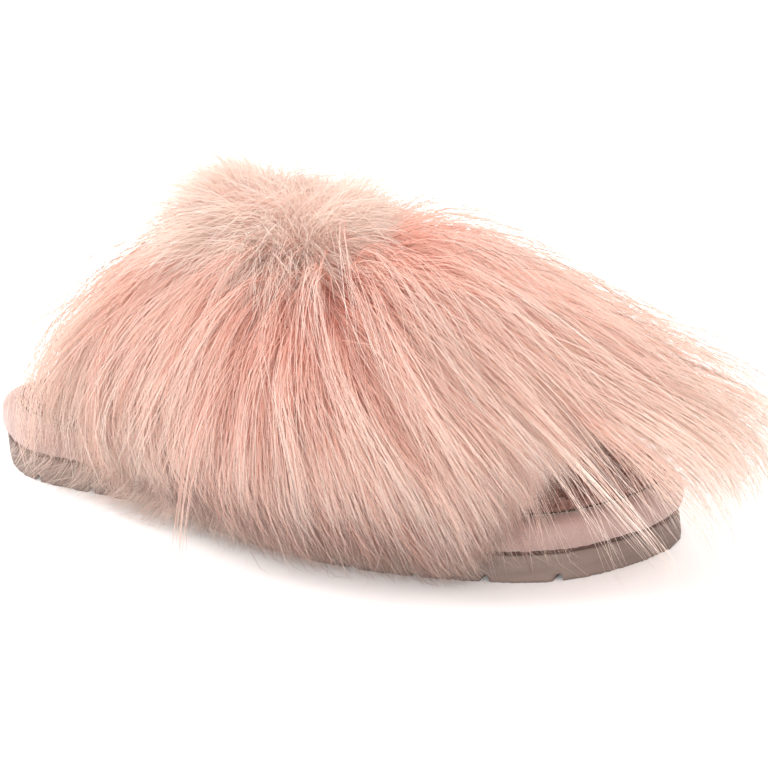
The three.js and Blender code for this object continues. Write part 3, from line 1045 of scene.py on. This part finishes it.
def build_sole(finish):
    """The outsole, the suede cover, the seams and the footbed."""
    outsole = softened("outsole_body", "outsole", finish["outsole"], 1.0 * MM, 2)
    add_piece(outsole, "outsole_foam", "outsole")
    wrap = softened("suede_wrap", "platform_wrap", finish["suede"], 0.9 * MM, 3)
    pucker(wrap)
    add_piece(wrap, "suede", "platform_wrap")
    path = ring_path("platform_wrap", 2 * MM)
    ring_stitches("rim_stitches", "rim_stitch", 3.6 * MM, 0.34 * MM, finish["thread"])
    cushion = softened("insole_pad", "insole_cushion", finish["foam"], 1.3 * MM, 3)
    puffed(cushion, 0.25 * MM)
    add_piece(cushion, "foam", "insole_cushion")
    sock = softened("sock_fleece", "sock_lining", finish["fleece"], 1.5 * MM, 4)
    puffed(sock, 0.8 * MM)
    add_piece(sock, "fleece", "sock_lining")
    roots, normals = sock_roots(sock, SOCK_FIBRES)
    pile("sock_pile", roots, normals, 3.2 * MM, 0.2 * MM, "fleece", finish["pile"])


def rounded(value, bulge=0.75):
    """A sine or cosine raised so that a circle becomes a softly squared roll."""
    return math.copysign(abs(value) ** bulge, value)


def binding_mesh(name, node):
    """A tape folded over a band edge: a rounded roll along the arch."""
    columns, around = 90, 14
    outer, inner = BandFace(node, False, 2, columns), BandFace(node, True, 2, columns)
    low, high = (np.array(corner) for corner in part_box(node))
    out, within = outer.points.mean(axis=0), inner.points.mean(axis=0)
    middle, half = (out + within) / 2, (out - within) / 2
    depth = np.array(((high[0] - low[0]) / 2, 0, 0))
    middle[:, 0] = (low[0] + high[0]) / 2
    half[:, 0] = 0
    vertices, faces = [], []
    for j in range(columns):
        for k in range(around):
            turn = 2 * math.pi * k / around
            out_share, side_share = rounded(math.cos(turn)), rounded(math.sin(turn))
            vertices.append(tuple(middle[j] + (half[j] * out_share + depth * side_share)))
    for j in range(columns - 1):
        for k in range(around):
            a, b = j * around + k, j * around + (k + 1) % around
            faces.append((a, b, b + around, a + around))
    faces.append(tuple(reversed(range(around))))
    faces.append(tuple((columns - 1) * around + k for k in range(around)))
    mesh = bpy.data.meshes.new(name)
    mesh.from_pydata(vertices, [], faces)
    mesh.shade_smooth()
    return mesh


def build_band(finish):
    """The band under the fur: knitted backing, padding, lining, and its bound edges."""
    layers = (
        ("knit_backing", "fur_backing", "backing", "knit"),
        ("padding_foam", "band_padding", "foam", "foam"),
        ("lining_fleece", "band_lining", "lining", "lining"),
    )
    for name, node, slot, look in layers:
        layer = new_object(name, shell_mesh(name, node, 0.12 * MM), finish[look])
        add_piece(layer, slot, node)
        if node == "band_padding":
            continue
    for edge in ("rear", "front"):
        name = edge + "_tape"
        tape = new_object(name, binding_mesh(name, edge + "_binding"), finish["tape"])
        add_piece(tape, "tape", edge + "_binding")
        band_stitches(edge + "_tape_stitches", edge + "_binding_stitch", 3.2 * MM, finish["thread"])
    rng = np.random.default_rng(SEED)
    face = BandFace("band_lining", True)
    u, v = 0.01 + 0.98 * rng.random(LINING_FIBRES), 0.03 + 0.94 * rng.random(LINING_FIBRES)
    roots, normals = face.at(u, v)
    pile("lining_pile", roots, normals, 2.6 * MM, 0.2 * MM, "lining", finish["pile"])


# ---- CAD nodes that stay ------------------------------------------------------------------
def make_finishes():
    """Every material but the fur's, by name."""
    return {
        "outsole": outsole_material(),
        "suede": cloth_material("suede", (0.44, 0.305, 0.275), (0.37, 0.25, 0.225), 1300, 0.6, 0.4),
        "fleece": cloth_material("fleece", (0.38, 0.23, 0.19), (0.28, 0.15, 0.125), 900, 0.9, 0.6),
        "lining": cloth_material("lining", (0.42, 0.26, 0.22), (0.34, 0.20, 0.17), 1200, 0.6, 0.4),
        "knit": cloth_material("knit", (0.70, 0.34, 0.26), (0.60, 0.27, 0.2), 1400, 0.6, 0.3),
        "tape": cloth_material("tape", (0.50, 0.33, 0.30), (0.42, 0.27, 0.24), 1600, 0.5, 0.2),
        # The seam material's near-black brown is painted shadow in the gap between the suede cover and the
        # outsole.
        "seam": cloth_material("seam", (0.13, 0.07, 0.055), (0.08, 0.045, 0.035), 2500, 0.4, 0.1),
        "foam": cloth_material("foam", (0.80, 0.75, 0.68), (0.72, 0.67, 0.60), 1500, 0.5, 0.0),
        "board": cloth_material("board", (0.42, 0.32, 0.21), (0.34, 0.25, 0.16), 1100, 0.4, 0.0),
        "pile": fleece_pile_material(),
        "thread": thread_material(),
    }


def dress_nodes(finish):
    """A material for each CAD node that stays as it is."""
    # The sole seam strip takes the near-black seam material: painted shadow in the gap between the suede
    # cover and the outsole.
    for name, look in (("midsole", "foam"), ("insole_board", "board"), ("sole_seam", "seam")):
        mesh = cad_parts[name].data
        mesh.materials.clear()
        mesh.materials.append(finish[look])


# ---- build --------------------------------------------------------------------------------
build_studio()
finishes = make_finishes()
dress_nodes(finishes)
build_sole(finishes)
build_band(finishes)
build_fur(BandFace("fur_backing"), Space(3 * MM, 9 * MM), fur_material())
